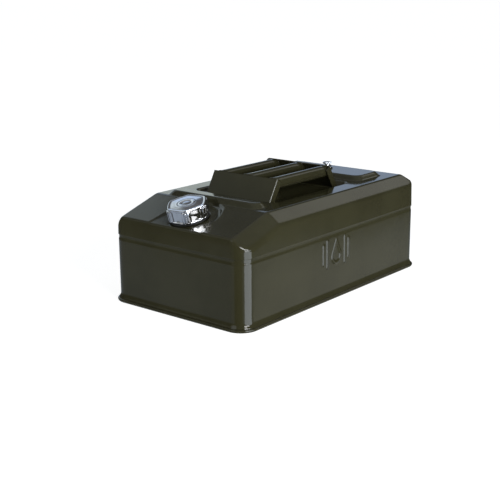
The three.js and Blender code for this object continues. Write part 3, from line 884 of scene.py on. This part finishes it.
def make_vent():
    base = PAD_Z
    centre = lambda points: np.asarray(points) + np.array([VENT_X, 0.0, base])

    section = rounded([(4.4, -12.0), (8.0, -12.0), (8.0, 0.3), (12.0, 0.3), (12.0, 3.3), (4.4, 3.3)], 0.5, 3)
    points, faces = turned(section, 72)
    finish_mesh("vent_seat", "can", centre(points), faces, chrome, sharp=50,
                replaces=["vent_boss"])

    section = rounded([(4.3, 3.6), (10.0, 3.6), (10.0, 5.1), (4.3, 5.1)], 0.6, 4)
    points, faces = turned(section, 72)
    finish_mesh("vent_gasket", "vent_washer", centre(points), faces, rubber, sharp=50,
                replaces=["vent_washer"])

    low, high = 5.4, 13.4
    profile = [(0.0, -14.0), (3.0, -14.0), (3.9, -13.2)]
    profile += [(4.0, z) for z in np.linspace(-12.6, 3.0, 50)]
    profile += [(4.0, 4.4), (6.0, low), (7.2, low), (7.6, low + 0.4), (7.6, low + 1.1), (7.2, low + 1.6)]
    profile += [(6.4, low + 1.9), (6.2, low + 2.4), (6.2, low + 3.4), (6.6, low + 4.0), (8.6, low + 4.4)]
    profile += [(9.6, low + 4.7), (10.0, low + 5.1), (10.0, low + 5.5), (10.0, high - 0.9), (9.8, high - 0.4)]
    profile += [(9.3, high - 0.1), (8.4, high), (7.2, high), (6.6, high - 0.25), (6.0, high - 0.8)]
    profile += [(5.2, high - 0.95), (2.6, high - 1.0), (1.9, high - 0.6), (1.2, high - 0.4)]
    profile += [(0.0, high - 0.35)]

    def knurled(angles, r, z):
        radius = np.full_like(angles, r)
        if r > 9.7:
            radius = radius - 0.55 * np.abs(np.sin(angles * 14)) ** 0.8
        elif 3.9 < r < 4.05 and z < 3.2:
            radius = radius - 0.45 * helix_shift(angles, z, VENT_PITCH, 1.0) * float(ease((z + 12.6) / 1.0))
        return radius

    points, faces = turned(profile, 168, knurled, closed=False)
    finish_mesh("vent_thumb_screw", "vent_screw", centre(points), faces, chrome, sharp=45,
                replaces=["vent_screw"])


# ---------------------------------------------------------------- materials
def new_material(name, base, roughness, metallic, **values):
    material = bpy.data.materials.new(name)
    material.use_nodes = True
    shader = material.node_tree.nodes["Principled BSDF"]
    shader.inputs["Base Color"].default_value = (*base, 1.0)
    shader.inputs["Roughness"].default_value = roughness
    shader.inputs["Metallic"].default_value = metallic
    for key, value in values.items():
        shader.inputs[key.replace("_", " ")].default_value = value
    return material, shader


class Nodes:
    """Short calls for building a node tree."""

    def __init__(self, owner):
        self.tree = owner.node_tree
        self.place = self.add("ShaderNodeTexCoord").outputs["Object"]

    def add(self, kind, **settings):
        node = self.tree.nodes.new(kind)
        for key, value in settings.items():
            setattr(node, key, value)
        return node

    def link(self, source, target):
        self.tree.links.new(source, target)

    def noise(self, scale, detail=3.0, roughness=0.5, stretch=None):
        node = self.add("ShaderNodeTexNoise")
        node.inputs["Scale"].default_value = scale
        node.inputs["Detail"].default_value = detail
        node.inputs["Roughness"].default_value = roughness
        source = self.place
        if stretch:
            mapping = self.add("ShaderNodeMapping")
            mapping.inputs["Scale"].default_value = stretch
            self.link(source, mapping.inputs["Vector"])
            source = mapping.outputs["Vector"]
        self.link(source, node.inputs["Vector"])
        return node.outputs["Fac"]

    def range(self, source, low, high, to_low, to_high):
        node = self.add("ShaderNodeMapRange", interpolation_type="SMOOTHSTEP")
        for key, value in zip(("From Min", "From Max", "To Min", "To Max"), (low, high, to_low, to_high)):
            node.inputs[key].default_value = value
        self.link(source, node.inputs["Value"])
        return node.outputs["Result"]

    def math(self, operation, a, b):
        node = self.add("ShaderNodeMath", operation=operation)
        for slot, value in zip(node.inputs, (a, b)):
            if isinstance(value, (int, float)):
                slot.default_value = value
            else:
                self.link(value, slot)
        return node.outputs[0]

    def mix(self, factor, a, b):
        node = self.add("ShaderNodeMix", data_type="RGBA")
        self.link(factor, node.inputs["Factor"])
        for key, value in zip((6, 7), (a, b)):
            if isinstance(value, tuple):
                node.inputs[key].default_value = (*value, 1.0)
            else:
                self.link(value, node.inputs[key])
        return node.outputs[2]

    def bump(self, height, strength, distance, normal=None):
        node = self.add("ShaderNodeBump")
        node.inputs["Strength"].default_value = strength
        node.inputs["Distance"].default_value = distance
        self.link(height, node.inputs["Height"])
        if normal is not None:
            self.link(normal, node.inputs["Normal"])
        return node.outputs["Normal"]


def make_paint():
    """Gloss olive enamel on pressed steel: faint mottle, orange peel, a little dust and rubbed edges."""
    material, shader = new_material("olive_gloss_enamel", (0.033, 0.0315, 0.015), 0.12, 0.0, IOR=1.42)
    n = Nodes(material)
    mottle = n.range(n.noise(9.0, 4.0), 0.35, 0.65, 0.0, 1.0)
    colour = n.mix(mottle, (0.0300, 0.0285, 0.0132), (0.0355, 0.0340, 0.0165))
    fine = n.range(n.noise(260.0, 2.0), 0.62, 0.78, 0.0, 0.35)
    colour = n.mix(fine, colour, (0.046, 0.045, 0.025))
    edge = n.add("ShaderNodeNewGeometry").outputs["Pointiness"]
    worn = n.range(edge, 0.54, 0.62, 0.0, 1.0)
    rubbed = n.math("MULTIPLY", worn, n.range(n.noise(70.0, 5.0), 0.45, 0.7, 0.0, 0.5))
    colour = n.mix(rubbed, colour, (0.075, 0.075, 0.052))
    n.link(colour, shader.inputs["Base Color"])
    smear = n.range(n.noise(6.0, 5.0, 0.6, (1.0, 1.0, 2.4)), 0.35, 0.7, 0.0, 1.0)
    specks = n.range(n.noise(420.0, 2.0), 0.55, 0.8, 0.0, 0.10)
    rough = n.math("ADD", n.math("MULTIPLY", smear, 0.06), n.math("ADD", specks, 0.07))
    n.link(rough, shader.inputs["Roughness"])
    peel = n.bump(n.noise(330.0, 2.0), 0.10, 0.0006)
    sag = n.bump(n.noise(26.0, 2.0), 0.07, 0.0025, peel)
    n.link(sag, shader.inputs["Normal"])
    return material


def make_chrome():
    material, shader = new_material("bright_chrome", (0.80, 0.81, 0.83), 0.07, 1.0)
    n = Nodes(material)
    haze = n.range(n.noise(60.0, 5.0, 0.6), 0.4, 0.75, 0.0, 1.0)
    n.link(n.mix(haze, (0.83, 0.84, 0.86), (0.72, 0.73, 0.76)), shader.inputs["Base Color"])
    pits = n.range(n.noise(900.0, 2.0), 0.6, 0.8, 0.0, 0.16)
    rough = n.math("ADD", n.math("MULTIPLY", haze, 0.07), n.math("ADD", pits, 0.05))
    n.link(rough, shader.inputs["Roughness"])
    n.link(n.bump(n.noise(180.0, 3.0), 0.10, 0.0005), shader.inputs["Normal"])
    return material


def make_zinc():
    material, shader = new_material("dull_zinc", (0.55, 0.56, 0.55), 0.4, 1.0)
    n = Nodes(material)
    spangle = n.range(n.noise(120.0, 4.0), 0.35, 0.65, 0.0, 1.0)
    n.link(n.mix(spangle, (0.60, 0.60, 0.58), (0.42, 0.43, 0.43)), shader.inputs["Base Color"])
    n.link(n.math("ADD", n.math("MULTIPLY", spangle, 0.18), 0.28), shader.inputs["Roughness"])
    n.link(n.bump(n.noise(500.0, 3.0), 0.12, 0.0004), shader.inputs["Normal"])
    return material


def make_rubber():
    material, shader = new_material("black_rubber", (0.012, 0.012, 0.012), 0.6, 0.0)
    n = Nodes(material)
    bloom = n.range(n.noise(80.0, 4.0), 0.45, 0.75, 0.0, 1.0)
    n.link(n.mix(bloom, (0.010, 0.010, 0.010), (0.022, 0.022, 0.021)), shader.inputs["Base Color"])
    n.link(n.math("ADD", n.math("MULTIPLY", bloom, 0.15), 0.5), shader.inputs["Roughness"])
    n.link(n.bump(n.noise(700.0, 2.0), 0.2, 0.0004), shader.inputs["Normal"])
    return material


paint = make_paint()
chrome = make_chrome()
zinc = make_zinc()
rubber = make_rubber()

# ---------------------------------------------------------------- the object
make_top_pan()
make_shell()
make_rim()
make_bottom()
make_filler()
make_cap()
make_handle()
make_vent()
for name in ("handle_doubler_front", "handle_doubler_rear"):
    node = frame["nodes"][name]
    node.data.materials.clear()
    node.data.materials.append(zinc)


# ---------------------------------------------------------------- floor and light
FLOOR_GLOW, WALL_GLOW = 0.86, 1.05
FLOOR_HALF = 150.0


def make_floor():
    mesh = bpy.data.meshes.new("floor")
    corners = [(FLOOR_HALF * a, FLOOR_HALF * b, 0) for a, b in ((-1, -1), (1, -1), (1, 1), (-1, 1))]
    mesh.from_pydata(corners, [], [(0, 1, 2, 3)])
    floor = bpy.data.objects.new("floor", mesh)
    bpy.context.scene.collection.objects.link(floor)
    material, _ = new_material("pale_floor", (0.45, 0.45, 0.45), 0.9, 0.0, Specular_IOR_Level=0.0,
                               Emission_Color=(1.0, 1.0, 1.0, 1.0), Emission_Strength=FLOOR_GLOW)
    mesh.materials.append(material)
    # the gloss on the can shows the studio around it, and not the floor
    floor.visible_glossy = False


def make_backdrop():
    """A white wall far around the can, seen by the camera alone, so that it lights nothing."""
    columns, radius, height = 96, 30.0, 30.0
    angles = np.arange(columns) * 2 * math.pi / columns
    points = [(radius * math.cos(a), radius * math.sin(a), z) for z in (0.0, height) for a in angles]
    mesh = bpy.data.meshes.new("backdrop")
    mesh.from_pydata(points, [], strip(list(range(columns)), list(range(columns, 2 * columns))))
    wall = bpy.data.objects.new("backdrop", mesh)
    bpy.context.scene.collection.objects.link(wall)
    material, _ = new_material("white_wall", (0.0, 0.0, 0.0), 0.9, 0.0, Specular_IOR_Level=0.0,
                               Emission_Color=(1.0, 1.0, 1.0, 1.0), Emission_Strength=WALL_GLOW)
    mesh.materials.append(material)
    wall.visible_glossy = wall.visible_diffuse = wall.visible_shadow = wall.visible_transmission = False


def direction(azimuth, elevation):
    a, e = math.radians(azimuth), math.radians(elevation)
    return Vector((math.cos(e) * math.cos(a), math.cos(e) * math.sin(a), math.sin(e)))


def area_light(name, azimuth, elevation, distance, size, power):
    """A rectangular softbox that faces the can from the given direction."""
    data = bpy.data.lights.new(name, "AREA")
    data.shape = "RECTANGLE"
    data.size, data.size_y = size
    data.energy = power
    light = bpy.data.objects.new(name, data)
    towards = direction(azimuth, elevation)
    light.location = towards * distance + Vector((0, 0, 0.1))
    light.rotation_euler = towards.to_track_quat("Z", "Y").to_euler()
    bpy.context.scene.collection.objects.link(light)


# soft patches in the studio, tuned to the photo: azimuth, elevation, radius and softness (degrees), colour.
# Each one covers those before it, and two of them are darker than what they cover.
GLOWS = [
    (-32.0, -31.0, 17.0, 4.0, (0.58, 0.60, 0.60)),
    (-158.0, -17.0, 27.0, 8.0, (0.02, 0.013, 0.008)),
    (-88.0, -13.0, 26.5, 4.0, (3.6, 3.9, 4.3)),
    (-60.0, -42.0, 22.0, 3.0, (0.04, 0.07, 0.12)),
    (49.0, 10.5, 19.5, 3.0, (0.50, 0.62, 0.82)),
    (76.0, 25.0, 20.0, 4.0, (0.64, 0.73, 0.77)),
    (-12.0, 36.0, 7.0, 8.0, (1.0, 1.0, 0.97)),
    (168.0, 26.0, 16.0, 6.0, (1.05, 1.1, 1.15)),
    (46.0, 9.0, 8.0, 6.0, (0.90, 1.0, 0.97)),
    (131.0, 33.5, 11.0, 6.0, (0.42, 0.44, 0.40)),
    (45.0, -29.0, 17.0, 6.0, (0.50, 0.52, 0.52)),
]
UPPER_DARK = (0.055, 0.055, 0.055)
ZENITH = (0.36, 0.37, 0.38)
TABLE = (0.27, 0.31, 0.37)
HORIZON = (-0.242, -0.216)


def make_world():
    """A dim studio with a lighter table below the horizon and soft patches of light around it."""
    world = bpy.data.worlds.new("studio")
    bpy.context.scene.world = world
    world.use_nodes = True
    n = Nodes(world)
    way = n.add("ShaderNodeTexCoord").outputs["Generated"]
    split = n.add("ShaderNodeSeparateXYZ")
    n.link(way, split.inputs[0])
    height = split.outputs["Z"]
    colour = n.mix(n.range(height, 0.45, 0.95, 0.0, 1.0), UPPER_DARK, ZENITH)
    colour = n.mix(n.range(height, *HORIZON, 1.0, 0.0), colour, TABLE)
    for azimuth, elevation, radius, softness, glow in GLOWS:
        dot = n.add("ShaderNodeVectorMath", operation="DOT_PRODUCT")
        n.link(way, dot.inputs[0])
        dot.inputs[1].default_value = direction(azimuth, elevation)
        outer, inner = (math.cos(math.radians(radius + k * softness / 2)) for k in (1, -1))
        colour = n.mix(n.range(dot.outputs["Value"], outer, inner, 0.0, 1.0), colour, glow)
    background = world.node_tree.nodes["Background"]
    n.link(colour, background.inputs["Color"])
    background.inputs["Strength"].default_value = 1.0


def make_light():
    make_world()
    area_light("key", -112.8, 21.0, 2.6, (0.78, 0.84), 28.0)
    area_light("low_strip", -96.6, 16.5, 2.56, (0.7, 0.42), 12.0)
    bpy.context.scene.view_settings.view_transform = "Standard"


make_floor()
make_backdrop()
make_light()
